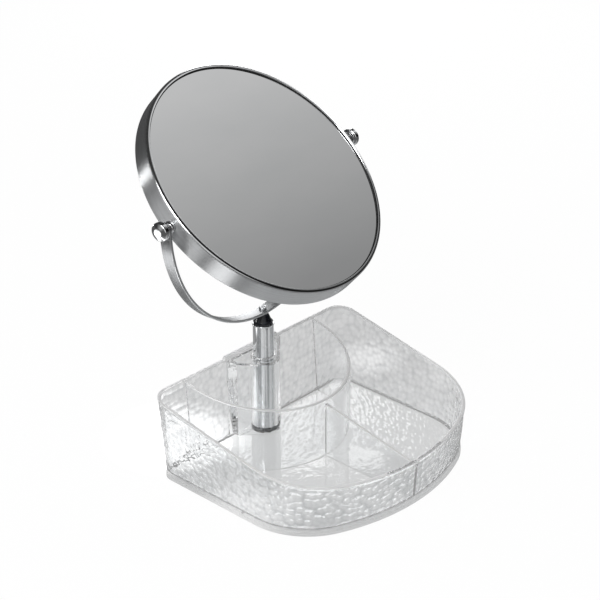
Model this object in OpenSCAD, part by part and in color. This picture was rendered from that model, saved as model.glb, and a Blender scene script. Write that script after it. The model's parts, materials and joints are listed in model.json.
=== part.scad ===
// Vanity mirror on an organiser tray.
//
// A clear moulded tray with a bowed front holds cosmetics in three bays. A chrome tube stands in
// a boss at the middle of its back wall and carries a swivelling yoke, in which a round two-sided
// mirror turns on two pivots.
//
// Frame: +Z up, the tray's bowed front towards -Y, the origin at the centre of the flat base.
// All lengths are in millimetres and all angles in degrees.

/* [Tray] */
// Width of the tray at its base
base_w = 182; // [150:1:240]
// Depth of the tray at its base, from the back wall to the middle of the bow
base_d = 148.5; // [120:0.5:200]
// Height of the rim at the back wall
rear_h = 62; // [50:1:90]
// Height of the rim at the middle of the bow
front_h = 33.5; // [24:0.5:48]
// Lean of the outer wall, outwards from the vertical
wall_draft = 4.3; // [2:0.1:8]
// Thickness of the outer wall
wall_t = 2.4; // [1.6:0.1:4]
// Thickness of the floor
floor_t = 3.6; // [2.4:0.1:6]
// Radius where the walls meet the floor
floor_r = 2.5; // [1:0.1:5]
// Height of the upright plinth that the outer wall stands on
plinth_h = 3.4; // [2:0.1:6]
// Step in from the plinth to the foot of the outer wall
plinth_step = 0.5; // [0.2:0.1:1]
// Plan radius of the two back corners
rear_corner_r = 10; // [6:1:25]
// Plan radius of the two front corners
front_corner_r = 51; // [30:1:60]
// Plan radius of the bowed front
bow_r = 150; // [120:5:260]

/* [Bays] */
// Outer radius of the round well wall
well_r = 64; // [48:1:68]
// Distance of the well wall's centre in front of the back wall's outer face
well_back = 5; // [3:0.5:12]
// Thickness of the well wall and of the divider
inner_t = 2.2; // [1.4:0.1:3]
// Drop of the well wall's edge below the rim
well_drop = 1.2; // [0.4:0.1:6]
// Drop of the divider's edge below the rim
divider_drop = 4; // [0.4:0.1:10]

/* [Boss] */
// Distance of the tube's axis in front of the rim's back edge
post_back = 14; // [13:0.5:30]
// Plan radius of the boss round the tube
boss_r = 11.3; // [9.4:0.1:14]
// Width of the boss where it meets the back wall
boss_w = 52; // [36:1:70]
// Thickness of the deck that closes the boss
deck_t = 2.4; // [1.6:0.1:4]
// Rise of the back wall's lip behind the boss
lip_rise = 2; // [0:0.2:4]
// Height of the collar round the tube above the deck
collar_h = 1.6; // [0.6:0.1:4]
// Wall of the tube's socket inside the boss
socket_wall = 2; // [1.2:0.1:2.6]
// Height of the socket's web above the table
web_z = 4; // [3:0.1:8]
// Thickness of the socket's web
web_t = 3; // [2:0.1:5]

/* [Post] */
// Outer diameter of the chrome tube
tube_d = 14.4; // [12:0.1:17.5]
// Wall of the chrome tube
tube_wall = 0.8; // [0.6:0.1:1.4]
// Height of the tube's top end above the table
tube_top = 84.2; // [75:0.1:140]
// Width of the trim ring's flange beyond the tube
ring_over = 0.5; // [0.2:0.1:1.2]
// Thickness of the trim ring's flange
ring_t = 1.1; // [0.6:0.1:2]
// Length of the swivel bush
bush_l = 20; // [10:1:24]
// Diameter of the swivel plug's shank
shank_d = 8; // [6.5:0.1:9.6]
// Height of the swivel plug's cone
cone_h = 8; // [6:0.1:14]
// Diameter of the cone's top, under the yoke
cone_top_d = 7.6; // [6:0.1:9]

/* [Yoke] */
// Gap between the mirror's ring and the yoke
side_gap = 4.7; // [3:0.1:10]
// Thickness of the yoke's strip
yoke_t = 2; // [1.2:0.1:3]
// Width of the yoke's strip
yoke_w = 8.8; // [7:0.1:14]
// Turn of the yoke on the post in the rest pose
yoke_swivel = 5.5; // [-45:0.5:45]

/* [Mirror] */
// Outer diameter of the mirror's ring
mirror_d = 178.6; // [140:0.1:220]
// Depth of the mirror's ring from front lip to rear lip
ring_depth = 17.1; // [16:0.1:22]
// Thickness of the ring's sheet
sheet_t = 1.2; // [0.8:0.1:1.6]
// Width of the lip that laps over the glass, seen from the front
lip_w = 2.7; // [2:0.1:4]
// Width of the gasket's band inside the lip
gasket_w = 0.8; // [0.4:0.1:1.4]
// Thickness of the plain glass
glass_t = 3; // [2:0.1:4]
// Thickness of the magnifying glass
lens_t = 2.4; // [2:0.1:3]
// Depth of the magnifying glass's hollow at its middle
lens_sag = 3.6; // [2:0.1:4]
// Tilt of the plain face above the horizontal view, in the rest pose
mirror_tilt = 49; // [0:1:90]

/* [Pivots] */
// Diameter of the pivot studs
stud_d = 4; // [3:0.1:5]
// Diameter of the pivot knobs
knob_d = 12.6; // [10:0.1:18]
// Length of the pivot knobs
knob_l = 6; // [5:0.1:10]
// Diameter of the spacers between ring and yoke
spacer_d = 8.2; // [7:0.1:12]
// Thickness of the friction washers
washer_t = 0.45; // [0.2:0.05:0.6]

/* [Fits] */
// Radial clearance of a shaft in its hole
fit_gap = 0.05; // [0.02:0.01:0.08]
// Clearance between pieces that only pass or face each other
free_gap = 0.3; // [0.2:0.05:0.5]

/* [Hidden] */

$fn = 96;
SLICE = 0.02; // thickness of the slices that a hull spans
FAR = 400; // longer than the object, for cutting blocks

// ---- Tray outline: straight back and sides, rounded corners, bowed front
lean = tan(wall_draft);
rear_y = base_d / 2; // plinth's back face
rim_out = lean * (rear_h - plinth_h) - plinth_step; // how far the rim stands out at the back
rim_front_out = lean * (front_h - plinth_h) - plinth_step; // and at the front
rim_rear_y = rear_y + rim_out;
rim_front_y = -rear_y - rim_front_out;
rim_slope = atan((rear_h - front_h) / (rim_rear_y - rim_front_y));
bow_y = bow_r - rear_y; // the bow's centre
corner_x = base_w / 2 - front_corner_r; // the front corners' centre
corner_y = bow_y - sqrt(pow(bow_r - front_corner_r, 2) - pow(corner_x, 2));
corner_end = atan2(corner_y - bow_y, corner_x); // direction where corner and bow meet
rear_x = base_w / 2 - rear_corner_r;
rear_cy = rear_y - rear_corner_r;

// Points on an arc, both ends included
function arc(x, y, r, a0, a1, n) =
    [for (i = [0:n]) let (a = a0 + (a1 - a0) * i / n) [x + r * cos(a), y + r * sin(a)]];

// Outline of the tray, moved out by d all round
function outline(d) = concat(
    arc(rear_x, rear_cy, rear_corner_r + d, 90, 0, 8),
    arc(corner_x, corner_y, front_corner_r + d, 0, corner_end, 14),
    arc(0, bow_y, bow_r + d, corner_end, -180 - corner_end, 24),
    arc(-corner_x, corner_y, front_corner_r + d, -180 - corner_end, -180, 14),
    arc(-rear_x, rear_cy, rear_corner_r + d, 180, 90, 8)
);

// How far the outer wall stands out at height z
function wall_out(z) = lean * (z - plinth_h) - plinth_step;

// Height of the rim at y
function rim_z(y) = rear_h + (y - rim_rear_y) * tan(rim_slope);

// ---- Bays, boss and post
well_y = rear_y - well_back;
post_y = rim_rear_y - post_back;
tube_r = tube_d / 2;
tube_bore_r = tube_r - tube_wall;
socket_r = tube_r + fit_gap;
socket_foot = web_z + web_t;
body_top = rear_h + lip_rise + 2; // above the whole rim, before it is cut

// ---- Screws and washers
base_screw_r = 2.5;
base_head_r = 4.5;
base_head_h = 2.2;
base_washer_t = 1;
base_washer_r = socket_r - free_gap;
foot_plug_l = 12;
yoke_screw_r = 2;
yoke_head_r = 3.4;
yoke_head_h = 2.1;
yoke_screw_l = 16;
drive_slot = 0.9; // width of a cross recess
clip_t = 1;
clip_r = tube_bore_r - 0.8; // outer radius of the clip
ring_spigot = 4; // depth of the trim ring inside the tube
swivel_washer_t = 0.5;

// ---- Yoke and mirror
mirror_r = mirror_d / 2;
shank_r = shank_d / 2;
ring_top = tube_top + ring_t;
cone_foot = ring_top + swivel_washer_t;
cone_top = tube_top + ring_t + swivel_washer_t + cone_h;
yoke_r = mirror_r + side_gap; // inner radius of the yoke
yoke_out_r = yoke_r + yoke_t;
pivot_z = cone_top + yoke_out_r;
half_depth = ring_depth / 2;
ring_in_r = mirror_r - sheet_t;
lip_in_r = mirror_r - lip_w;
bend_r = sheet_t + 0.1; // outer radius of the ring's rolled edges
glass_r = ring_in_r - 0.2;
glass_face = half_depth - sheet_t - free_gap; // the glass faces' distance from the middle
hoop_wall = 6;
dish_r = (pow(glass_r, 2) + pow(lens_sag, 2)) / (2 * lens_sag); // radius of the glass's hollow
washer_r = yoke_w / 2 - 0.4;
stud_r = stud_d / 2;
insert_r = stud_r + 1.2;
insert_l = 8;
knob_seat = yoke_out_r + washer_t + 2 * fit_gap; // the knobs' inner face
stud_end = knob_seat + knob_l - 1.8;

bush_top = tube_top - ring_spigot;
bush_foot = bush_top - bush_l;

module pipe(r_out, r_in, h) {
    difference() {
        cylinder(r = r_out, h = h);
        translate([0, 0, -1]) cylinder(r = r_in, h = h + 2);
    }
}

// Everything above the rim's sloping plane, lowered by drop
module above_rim(drop) {
    translate([0, rim_rear_y, rear_h - drop]) rotate([rim_slope, 0, 0])
        translate([-FAR / 2, -FAR, 0]) cube([FAR, 2 * FAR, FAR]);
}

// A thin slice of the leaning tub at height z, moved out by d
module slice(d, z) {
    translate([0, 0, z]) linear_extrude(SLICE) polygon(outline(wall_out(z) + d));
}

// The leaning tub from height z0 up, moved out by d
module tub(d, z0) {
    hull() {
        slice(d, z0);
        slice(d, body_top);
    }
}

// The tub's inside, rounded where the walls meet the floor
module tub_inside() {
    hull() {
        for (a = [0:30:90])
            slice(-wall_t - floor_r * (1 - sin(a)), floor_t + floor_r * (1 - cos(a)));
        slice(-wall_t, body_top);
    }
}

// The round well wall: half a pipe with short straight ends at the back wall
module well_wall() {
    difference() {
        union() {
            translate([0, well_y, 0]) cylinder(r = well_r, h = body_top);
            translate([-well_r, well_y, 0]) cube([2 * well_r, FAR, body_top]);
        }
        translate([0, well_y, -1]) cylinder(r = well_r - inner_t, h = body_top + 2);
        translate([-well_r + inner_t, well_y, -1])
            cube([2 * (well_r - inner_t), FAR, body_top + 2]);
        above_rim(well_drop);
    }
}

// The divider, from the well wall to the bowed front
module divider() {
    difference() {
        translate([-inner_t / 2, -FAR, 0])
            cube([inner_t, FAR + well_y - well_r + inner_t / 2, body_top]);
        above_rim(divider_drop);
    }
}

// The boss: a rounded triangle in plan, whose long side is the back wall
module boss_body() {
    hull() {
        translate([0, post_y, 0]) cylinder(r = boss_r, h = body_top);
        translate([-boss_w / 2, rear_y - 1, 0]) cube([boss_w, 1, body_top]);
        translate([-boss_w / 2, rim_rear_y - 1, 0]) cube([boss_w, 1, body_top]);
    }
}

// Everything behind the leaning inner face of the back wall
module behind_wall() {
    translate([0, rear_y - plinth_step - wall_t, plinth_h]) rotate([-wall_draft, 0, 0])
        translate([-FAR / 2, 0, -FAR / 2]) cube([FAR, FAR, FAR]);
}

// The boss's hollow, open below, with the tube's socket left standing in it
module boss_hollow() {
    half = boss_w / 2 - wall_t * 2.5; // less what the slanting sides take off the long side
    long_y = rear_y - plinth_step - wall_t - 1; // where the slanting sides end
    difference() {
        hull() {
            translate([0, post_y, -1]) cylinder(r = boss_r - wall_t, h = body_top + 1);
            translate([-half, long_y, -1]) cube([2 * half, rear_y + rim_out - long_y, body_top + 1]);
        }
        behind_wall();
        translate([0, post_y, web_z]) cylinder(r = socket_r + socket_wall, h = body_top);
        above_rim(deck_t);
    }
}

module tray() {
    color([0.87, 0.89, 0.9, 0.45]) difference() {
        union() {
            linear_extrude(plinth_h) polygon(outline(0));
            difference() {
                tub(0, plinth_h);
                tub_inside();
                difference() {
                    above_rim(0);
                    translate([-boss_w / 2, 0, 0]) cube([boss_w, FAR, FAR]);
                }
                above_rim(-lip_rise);
            }
            intersection() {
                tub(0, plinth_h);
                union() {
                    well_wall();
                    divider();
                    difference() {
                        boss_body();
                        above_rim(0);
                    }
                }
            }
            translate([0, post_y, 0]) cylinder(r = socket_r + 1.4, h = rim_z(post_y) + collar_h);
        }
        boss_hollow();
        translate([0, post_y, socket_foot]) cylinder(r = socket_r, h = FAR);
        translate([0, post_y, -1]) cylinder(r = base_screw_r + free_gap, h = FAR);
    }
}

// ---- Post

module post_tube() {
    color([0.8, 0.81, 0.83]) translate([0, post_y, socket_foot])
        pipe(tube_r, tube_bore_r, tube_top - socket_foot);
}

// Flanged ring pressed into the top of the tube
module tube_trim_ring() {
    lip_r = tube_r + ring_over;
    bore_r = shank_r + free_gap;
    color([0.86, 0.87, 0.89]) translate([0, post_y, 0]) rotate_extrude() polygon([
        [bore_r, tube_top - ring_spigot], [tube_bore_r - fit_gap, tube_top - ring_spigot],
        [tube_bore_r - fit_gap, tube_top], [lip_r - 0.3, tube_top], [lip_r, tube_top + 0.3],
        [lip_r, ring_top - 0.3], [lip_r - 0.3, ring_top], [bore_r, ring_top]
    ]);
}

// Threaded plug in the foot of the tube
module tube_foot_plug() {
    color([0.72, 0.6, 0.35]) translate([0, post_y, socket_foot])
        pipe(tube_bore_r - fit_gap, base_screw_r + fit_gap, foot_plug_l);
}

module screw(r, l, head_r, head_h) {
    difference() {
        union() {
            cylinder(r = head_r, h = head_h * 0.55);
            translate([0, 0, head_h * 0.55])
                cylinder(r1 = head_r, r2 = head_r * 0.72, h = head_h * 0.45);
            translate([0, 0, -l]) cylinder(r = r, h = l);
        }
        for (a = [0, 90]) rotate([0, 0, a])
            translate([-head_r * 0.6, -drive_slot / 2, head_h * 0.45])
                cube([head_r * 1.2, drive_slot, head_h]);
    }
}

// Screw from below, through the socket's web into the tube's plug
module base_screw() {
    color([0.75, 0.76, 0.78]) translate([0, post_y, web_z - base_washer_t]) rotate([180, 0, 0])
        screw(base_screw_r, base_washer_t + web_t + foot_plug_l - 1, base_head_r, base_head_h);
}

module base_washer() {
    color([0.7, 0.71, 0.73]) translate([0, post_y, web_z - base_washer_t])
        pipe(base_washer_r, base_screw_r + free_gap, base_washer_t);
}

// Plain bearing that the swivel plug turns in
module swivel_bush() {
    color([0.93, 0.92, 0.88]) translate([0, post_y, bush_foot])
        pipe(tube_bore_r - fit_gap, shank_r + fit_gap, bush_l);
}

// ---- Yoke

// The yoke's own frame: origin on the pivot axis, X along the pivots
module at_pivot() {
    translate([0, post_y, pivot_z]) rotate([0, 0, yoke_swivel]) children();
}

// Black cone under the yoke, with a shank that turns in the bush and is grooved for its clip
module swivel_plug() {
    cone_r = tube_r - 0.6;
    groove_z = bush_foot - free_gap - clip_t;
    foot_z = groove_z - 2;
    color([0.06, 0.06, 0.07]) translate([0, post_y, 0]) difference() {
        rotate_extrude() polygon([
            [0, foot_z], [shank_r - 0.5, foot_z], [shank_r, foot_z + 0.5], [shank_r, groove_z],
            [shank_r - 1, groove_z], [shank_r - 1, groove_z + clip_t],
            [shank_r, groove_z + clip_t], [shank_r, cone_foot], [cone_r, cone_foot],
            [cone_r, cone_foot + 1.2], [cone_top_d / 2, cone_top], [0, cone_top]
        ]);
        translate([0, 0, cone_top - yoke_screw_l]) cylinder(r = yoke_screw_r + fit_gap, h = FAR);
    }
}

// Snap ring that keeps the plug in the bush
module swivel_clip() {
    color([0.6, 0.61, 0.63])
        translate([0, post_y, bush_foot - free_gap - clip_t]) rotate([0, 0, yoke_swivel])
            difference() {
                pipe(clip_r, shank_r - 1 + fit_gap, clip_t);
                translate([-FAR, -1.5, -1]) cube([FAR, 3, clip_t + 2]);
            }
}

// Nylon washer that the cone turns on
module swivel_washer() {
    color([0.12, 0.12, 0.13]) translate([0, post_y, ring_top])
        pipe(tube_r - 0.4, shank_r + free_gap, swivel_washer_t);
}

// Half hoop of flat strip with rounded ends, spot-faced inside for the washers
module yoke() {
    color([0.74, 0.75, 0.77]) at_pivot() difference() {
        union() {
            rotate([-90, 0, 0]) rotate_extrude(angle = 180)
                translate([yoke_r, -yoke_w / 2]) square([yoke_t, yoke_w]);
            for (side = [-1, 1]) translate([side * (yoke_r + yoke_t / 2), 0, 0])
                rotate([0, 90, 0]) cylinder(r = yoke_w / 2, h = yoke_t, center = true);
        }
        rotate([0, 90, 0]) cylinder(r = stud_r + fit_gap, h = FAR, center = true);
        rotate([0, 90, 0]) cylinder(r = washer_r + free_gap, h = 2 * yoke_r, center = true);
        translate([0, 0, -FAR]) cylinder(r = yoke_screw_r + free_gap, h = FAR);
    }
}

module yoke_screw() {
    color([0.8, 0.81, 0.83]) at_pivot() translate([0, 0, -yoke_r + 0.1]) rotate([0, 0, 30])
        screw(yoke_screw_r, yoke_t + yoke_screw_l - 0.6, yoke_head_r, yoke_head_h);
}

// ---- Pivots, one set on each side of the mirror

// Frame of one pivot: origin on the mirror's centre, Z outwards along the pivot axis
module at_side(side) {
    at_pivot() rotate([0, side * 90, 0]) children();
}

// A pair of thin washers, one on each face of the yoke's strip
module friction_washers(side) {
    color([0.15, 0.15, 0.16]) at_side(side)
        for (z = [yoke_r - washer_t - fit_gap, yoke_out_r + fit_gap]) translate([0, 0, z])
            pipe(washer_r, stud_r + fit_gap, washer_t);
}

module pivot_insert(side) {
    color([0.72, 0.6, 0.35]) at_side(side) translate([0, 0, ring_in_r - insert_l - free_gap])
        pipe(insert_r, stud_r + fit_gap, insert_l);
}

module pivot_stud(side) {
    foot = ring_in_r - insert_l + 0.5;
    color([0.7, 0.71, 0.73]) at_side(side) translate([0, 0, foot])
        cylinder(r = stud_r, h = stud_end - foot);
}

// Turned spacer with a bulging side
module pivot_spacer(side) {
    foot = mirror_r + fit_gap;
    top = yoke_r - washer_t - 2 * fit_gap;
    r = spacer_d / 2;
    color([0.84, 0.85, 0.87]) at_side(side) rotate_extrude() polygon(concat(
        [[stud_r + fit_gap, foot]],
        [for (i = [0:12]) let (a = -60 + 10 * i)
            [r - 1.6 + 1.6 * cos(a), (foot + top) / 2 + (top - foot) / 2 * sin(a) / sin(60)]],
        [[stud_r + fit_gap, top]]
    ));
}

// Turned knob: a neck, a round-edged rim and a dished face
module pivot_knob(side) {
    r = knob_d / 2;
    edge = 2;
    mid = knob_seat + knob_l - edge;
    color([0.86, 0.87, 0.89]) at_side(side) difference() {
        rotate_extrude() polygon(concat(
            [[0, knob_seat], [r - 1.8, knob_seat], [r - 1.5, knob_seat + 0.8]],
            [for (i = [0:10]) let (a = -60 + 15 * i)
                [r - edge + edge * cos(a), mid + edge * sin(a)]],
            [for (i = [1:8]) let (t = 1 - i / 8)
                [(r - edge) * t, mid + edge - 0.9 * (1 - pow(t, 2))]]
        ));
        cylinder(r = stud_r + fit_gap, h = stud_end + 0.3);
    }
}

// ---- Mirror

// The mirror's own frame: origin at its centre, Z out of the plain face
module at_mirror() {
    at_pivot() rotate([90 - mirror_tilt, 0, 0]) children();
}

// Hole through the ring's parts along the pivot axis, seen in the mirror's frame
module pivot_hole(r) {
    rotate([0, 90, 0]) cylinder(r = r, h = FAR, center = true);
}

// Half section of the ring's rolled edge, from the band to the lip
function ring_edge() = concat(
    arc(mirror_r - bend_r, half_depth - bend_r, bend_r, 0, 90, 6),
    [[lip_in_r, half_depth], [lip_in_r, half_depth - sheet_t], [ring_in_r, half_depth - sheet_t]]
);

function flipped(pts) = [for (i = [len(pts) - 1:-1:0]) [pts[i][0], -pts[i][1]]];

module mirror_ring() {
    color([0.72, 0.73, 0.75]) at_mirror() difference() {
        rotate_extrude($fn = 144) polygon(concat(ring_edge(), flipped(ring_edge())));
        pivot_hole(stud_r + fit_gap);
    }
}

module glass_plain() {
    color([0.66, 0.67, 0.68]) at_mirror() translate([0, 0, glass_face - glass_t])
        cylinder(r = glass_r, h = glass_t, $fn = 144);
}

// Height of the magnifying glass's hollow face at x from the middle
function dish_z(x) = lens_sag - glass_face - dish_r + sqrt(pow(dish_r, 2) - pow(x, 2));

// Dished glass: a disc with a spherical hollow on the face and the same bulge behind
module glass_magnifying() {
    n = 20;
    color([0.66, 0.67, 0.68]) at_mirror() rotate_extrude($fn = 144) polygon(concat(
        [for (i = [0:n]) let (x = glass_r * i / n) [x, dish_z(x)]],
        [for (i = [n:-1:0]) let (x = glass_r * i / n) [x, dish_z(x) + lens_t]]
    ));
}

// Gasket: a thin flange between glass and lip, with an upstand inside the lip
module gasket() {
    in_r = lip_in_r - gasket_w;
    rotate_extrude($fn = 144) polygon([
        [in_r, glass_face], [glass_r, glass_face], [glass_r, glass_face + free_gap],
        [lip_in_r - fit_gap, glass_face + free_gap], [lip_in_r - fit_gap, half_depth - 0.4],
        [in_r, half_depth - 0.7]
    ]);
}

module gasket_plain() {
    color([0.05, 0.05, 0.06]) at_mirror() gasket();
}

module gasket_magnifying() {
    color([0.05, 0.05, 0.06]) at_mirror() rotate([180, 0, 0]) gasket();
}

// Moulded hoop that parts the two glasses and holds the pivots' inserts
module core_hoop() {
    seat = [for (i = [0:4]) let (x = glass_r - hoop_wall * (1 - i / 4))
        [x, dish_z(x) + lens_t + fit_gap]];
    top = glass_face - glass_t;
    color([0.9, 0.9, 0.9]) at_mirror() difference() {
        rotate_extrude($fn = 144)
            polygon(concat(seat, [[glass_r, top], [glass_r - hoop_wall, top]]));
        pivot_hole(insert_r + fit_gap);
    }
}

tray();
post_tube();
tube_trim_ring();
tube_foot_plug();
base_screw();
base_washer();
swivel_bush();
swivel_plug();
swivel_clip();
swivel_washer();
yoke();
yoke_screw();
friction_washers(-1);  // friction_washers_left
friction_washers(1);  // friction_washers_right
mirror_ring();
glass_plain();
glass_magnifying();
gasket_plain();
gasket_magnifying();
core_hoop();
pivot_insert(-1);  // pivot_insert_left
pivot_insert(1);  // pivot_insert_right
pivot_stud(-1);  // pivot_stud_left
pivot_stud(1);  // pivot_stud_right
pivot_spacer(-1);  // pivot_spacer_left
pivot_spacer(1);  // pivot_spacer_right
pivot_knob(-1);  // pivot_knob_left
pivot_knob(1);  // pivot_knob_right
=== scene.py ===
# %% [markdown]
# # A vanity mirror on a clear organiser tray
# The object has two halves that look nothing alike. Below is one clear moulding, whose outside is
# hammered all over, so it breaks what is behind it into small bright cells. Above it are metal
# parts: a chrome post, a brushed yoke, and a brushed ring with polished lips round a mirror.
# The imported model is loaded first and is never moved. Everything here is made around it, in metres.

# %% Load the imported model
import json
import math

import bmesh
import bpy
import numpy as np
from mathutils import Matrix


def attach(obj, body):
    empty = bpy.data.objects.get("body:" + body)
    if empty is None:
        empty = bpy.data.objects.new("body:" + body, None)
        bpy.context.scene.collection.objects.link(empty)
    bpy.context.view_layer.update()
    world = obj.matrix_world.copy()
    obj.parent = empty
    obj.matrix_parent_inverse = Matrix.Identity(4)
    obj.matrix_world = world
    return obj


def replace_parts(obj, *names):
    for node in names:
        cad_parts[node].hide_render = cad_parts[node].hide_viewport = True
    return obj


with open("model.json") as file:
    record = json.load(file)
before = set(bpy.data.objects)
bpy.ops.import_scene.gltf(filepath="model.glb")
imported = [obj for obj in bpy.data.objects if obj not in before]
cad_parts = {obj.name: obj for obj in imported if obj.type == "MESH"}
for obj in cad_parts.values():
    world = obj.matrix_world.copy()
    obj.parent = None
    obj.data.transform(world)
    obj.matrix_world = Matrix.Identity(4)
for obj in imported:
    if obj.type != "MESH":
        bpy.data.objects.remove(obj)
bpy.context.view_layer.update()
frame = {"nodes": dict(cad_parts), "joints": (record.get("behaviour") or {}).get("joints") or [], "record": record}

# %% [markdown]
# ## Camera
# The photograph is a product shot from above the left front corner with a long lens. The camera's
# place, angles and focal length were worked out from the object's edges. A small shift does what
# cropping did to the photograph.

# %% Camera
PHOTO_SIZE = 600  # pixels, square
SENSOR = 36.0  # millimetres
FOCAL_PIXELS = 1837.6
CENTRE_PIXEL = (290.6, 281.5)  # where the view's axis meets the photograph
CAMERA_PLACE = (-0.79558, -0.72146, 0.66473)
CAMERA_ANGLES = np.radians((-46.335, 26.132, -0.425))  # azimuth, elevation and roll


def camera_axes(azimuth, elevation, roll):
    """Right, up and back as columns: back leaves the object at the azimuth and elevation, right is
    level, and both right and up then turn about back by the roll."""
    back = np.array([math.sin(azimuth) * math.cos(elevation),
                     -math.cos(azimuth) * math.cos(elevation), math.sin(elevation)])
    level = np.array([math.cos(azimuth), math.sin(azimuth), 0.0])
    upright = np.cross(back, level)
    right = math.cos(roll) * level + math.sin(roll) * upright
    return np.column_stack([right, np.cross(back, right), back])


def in_scene(name, data):
    """An object with this mesh, camera or lamp, linked into the scene."""
    made = bpy.data.objects.new(name, data)
    bpy.context.collection.objects.link(made)
    print("made", name)
    return made


def turn_to(thing, axes, place):
    """Turns a camera or lamp to the axes, given as columns, and moves it to the place."""
    turn = np.eye(4)
    turn[:3, :3], turn[:3, 3] = axes, place
    thing.matrix_world = Matrix(turn.tolist())


def make_camera():
    """A camera with the photograph's focal length, turned by the three axes above."""
    data = bpy.data.cameras.new("photo_camera")
    data.sensor_width = SENSOR
    data.lens = FOCAL_PIXELS / PHOTO_SIZE * SENSOR
    data.shift_x = (PHOTO_SIZE / 2 - CENTRE_PIXEL[0]) / PHOTO_SIZE
    data.shift_y = (CENTRE_PIXEL[1] - PHOTO_SIZE / 2) / PHOTO_SIZE
    camera = in_scene("photo_camera", data)
    turn_to(camera, camera_axes(*CAMERA_ANGLES), CAMERA_PLACE)
    return camera


bpy.context.scene.camera = make_camera()
print("lens", round(bpy.context.scene.camera.data.lens, 2), "mm")

# %% [markdown]
# ## Tools for surfaces
# Each new piece is a grid of points worked out in one go by numpy: a turned piece is an outline
# carried round an axis, and a moulded wall is an outline carried along a path. These helpers turn
# such grids into meshes.

# %% Grids of points into meshes
MM = 0.001
SHARP = math.radians(40)  # edges that turn by more than this stay sharp


def grid_quads(rows, columns, wrap_rows=False, wrap_columns=False):
    """Corner numbers of the quads between neighbouring rows and columns of a grid; a wrapped
    direction joins its last line to its first."""
    r = np.arange(rows if wrap_rows else rows - 1)[:, None]
    c = np.arange(columns if wrap_columns else columns - 1)[None, :]
    r2, c2 = (r + 1) % rows, (c + 1) % columns
    quads = [r * columns + c, r * columns + c2, r2 * columns + c2, r2 * columns + c]
    return np.stack(quads, axis=-1).reshape(-1, 4)


def piece_from_grid(name, grid, wrap_columns=False, uv=None, ridge=None):
    """A mesh object with the grid's points in millimetres, doubles merged, faces turned outwards.
    uv gives each grid point its place along and across the piece, in metres. ridge is a value
    for each point that a material can read."""
    rows, columns = grid.shape[:2]
    quads = grid_quads(rows, columns, wrap_columns=wrap_columns)
    mesh = bpy.data.meshes.new(name)
    mesh.from_pydata((grid.reshape(-1, 3) * MM).tolist(), [], quads.tolist())
    if uv is not None:
        layer = mesh.uv_layers.new(name="surface")
        layer.data.foreach_set("uv", uv.reshape(-1, 2)[quads.reshape(-1)].astype("f").ravel())
    if ridge is not None:
        mesh.attributes.new("ridge", "FLOAT", "POINT").data.foreach_set("value", ridge.ravel())
    return finished(name, mesh)


def finished(name, mesh):
    """The mesh as an object in the scene: doubles merged, normals outwards, and sharp edges kept
    sharp."""
    work = bmesh.new()
    work.from_mesh(mesh)
    bmesh.ops.remove_doubles(work, verts=work.verts, dist=1e-7)
    bmesh.ops.dissolve_degenerate(work, edges=work.edges, dist=1e-8)
    bmesh.ops.recalc_face_normals(work, faces=work.faces)
    work.to_mesh(mesh)
    work.free()
    mesh.shade_smooth()
    mesh.set_sharp_from_angle(angle=SHARP)
    return in_scene(name, mesh)


print("a grid of 3 rows and 4 columns has", len(grid_quads(3, 4)), "faces")


# %% Outlines and turned pieces
def rounded(corners, radii, steps=5):
    """An outline through the corners, each rounded to about its radius by a curve whose points
    are the parts (1-t)^2, 2t(1-t) and t^2 of its start, the corner and its end."""
    corners = np.asarray(corners, float)
    out = []
    t = np.linspace(0, 1, steps)[:, None]
    for i, (corner, radius) in enumerate(zip(corners, radii)):
        if radius == 0:
            out.append(corner[None])
            continue
        to_last = corners[i - 1] - corner
        to_next = corners[(i + 1) % len(corners)] - corner
        cosine = to_last @ to_next / (np.linalg.norm(to_last) * np.linalg.norm(to_next))
        reach = radius / math.tan(math.acos(np.clip(cosine, -1, 1)) / 2)
        start = corner + to_last / np.linalg.norm(to_last) * reach
        end = corner + to_next / np.linalg.norm(to_next) * reach
        out.append((1 - t) ** 2 * start + 2 * t * (1 - t) * corner + t ** 2 * end)
    return np.concatenate(out)


def way_along(points):
    """Distance along a line of points from its first."""
    return np.concatenate([[0], np.cumsum(np.linalg.norm(np.diff(points, axis=0), axis=1))])


def surface_uv(along, across):
    """Each grid point's place on the surface in metres: along by its column, across by its row."""
    return np.stack(np.broadcast_arrays(along[None] * MM, across[:, None] * MM), axis=-1)


def turned(name, outline, place, segments=96, closed=False):
    """A turned piece: the outline's (radius, height) points carried round the axis by
    x = radius cos a, y = radius sin a, z = height, then put in place. A closed outline makes a
    ring; an open one has both ends on the axis. The last column of the grid lies on the first,
    so that uv, the way round and the way along the outline, runs on to the end."""
    outline = np.asarray(outline, float)
    if closed:
        outline = np.vstack([outline, outline[:1]])
    a = np.linspace(0, 2 * math.pi, segments + 1)
    r, h = outline[:, 0][:, None], outline[:, 1][:, None]
    points = np.stack([r * np.cos(a), r * np.sin(a), h + 0 * a], axis=-1)
    uv = surface_uv(a * outline[:, 0].max(), way_along(outline))
    return piece_from_grid(name, place(points), uv=uv)


square = rounded([[0, 0], [2, 0], [2, 2], [0, 2]], (0.5, 0.5, 0.5, 0.5))
print("a rounded square has", len(square), "points,", round(way_along(square)[-1], 2), "along")

# %% [markdown]
# ## Where things are
# The post stands upright, the yoke is turned on it by a few degrees, and the mirror is tilted in
# the yoke. Each of the three has its own axes, and a piece is worked out in the axes it is simple
# in and then put in place.

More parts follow.
